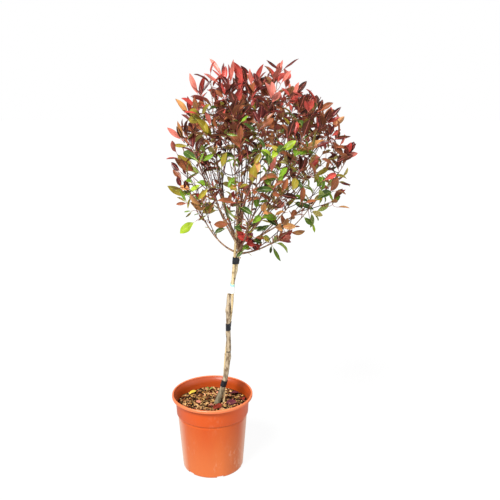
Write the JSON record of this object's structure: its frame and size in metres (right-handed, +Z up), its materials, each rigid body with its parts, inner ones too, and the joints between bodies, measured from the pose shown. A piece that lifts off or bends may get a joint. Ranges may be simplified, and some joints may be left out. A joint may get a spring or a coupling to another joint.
{
  "type": "potted standard photinia",
  "caption": "Potted standard photinia shrub: a round crown of red and green leaves on one clear woody stem, tied to a cane in a nursery pot.",
  "frame": {"origin": "middle of the pot's flat underside, where it stands on the ground", "axes": "+Z up along the pot's axis; the picture is taken from the -Y side, with +X to its right"},
  "size_m": [0.5215, 0.5048, 1.1973],
  "materials": {
    "orange_plastic": "satin moulded plastic",
    "bark_compost": "rough bark chips",
    "bark": "matt living bark",
    "bamboo": "smooth dry bamboo",
    "black_tape": "soft black tying tape",
    "white_film": "plain white film",
    "twig_bark": "young brown bark",
    "foliage": "glossy leaves, red to green"
  },
  "bodies": {
    "root": {"bamboo_cane": "bamboo", "bough_01": "twig_bark", "bough_02": "twig_bark", "bough_03": "twig_bark", "bough_04": "twig_bark", "bough_05": "twig_bark", "bough_06": "twig_bark", "bough_07": "twig_bark", "bough_08": "twig_bark", "bough_09": "twig_bark", "bough_10": "twig_bark", "bough_11": "twig_bark", "bough_12": "twig_bark", "bough_13": "twig_bark", "bough_14": "twig_bark", "bough_15": "twig_bark", "foliage_00": "foliage", "foliage_01": "foliage", "foliage_02": "foliage", "foliage_03": "foliage", "foliage_04": "foliage", "foliage_05": "foliage", "foliage_06": "foliage", "foliage_07": "foliage", "foliage_08": "foliage", "foliage_09": "foliage", "foliage_10": "foliage", "foliage_11": "foliage", "foliage_12": "foliage", "foliage_13": "foliage", "foliage_14": "foliage", "foliage_15": "foliage", "foliage_16": "foliage", "growing_medium": "bark_compost", "pot": "orange_plastic", "stem_label": "white_film", "tie_lower": "black_tape", "tie_middle": "black_tape", "tie_upper": "black_tape", "trunk": "bark"}
  },
  "joints": []
}
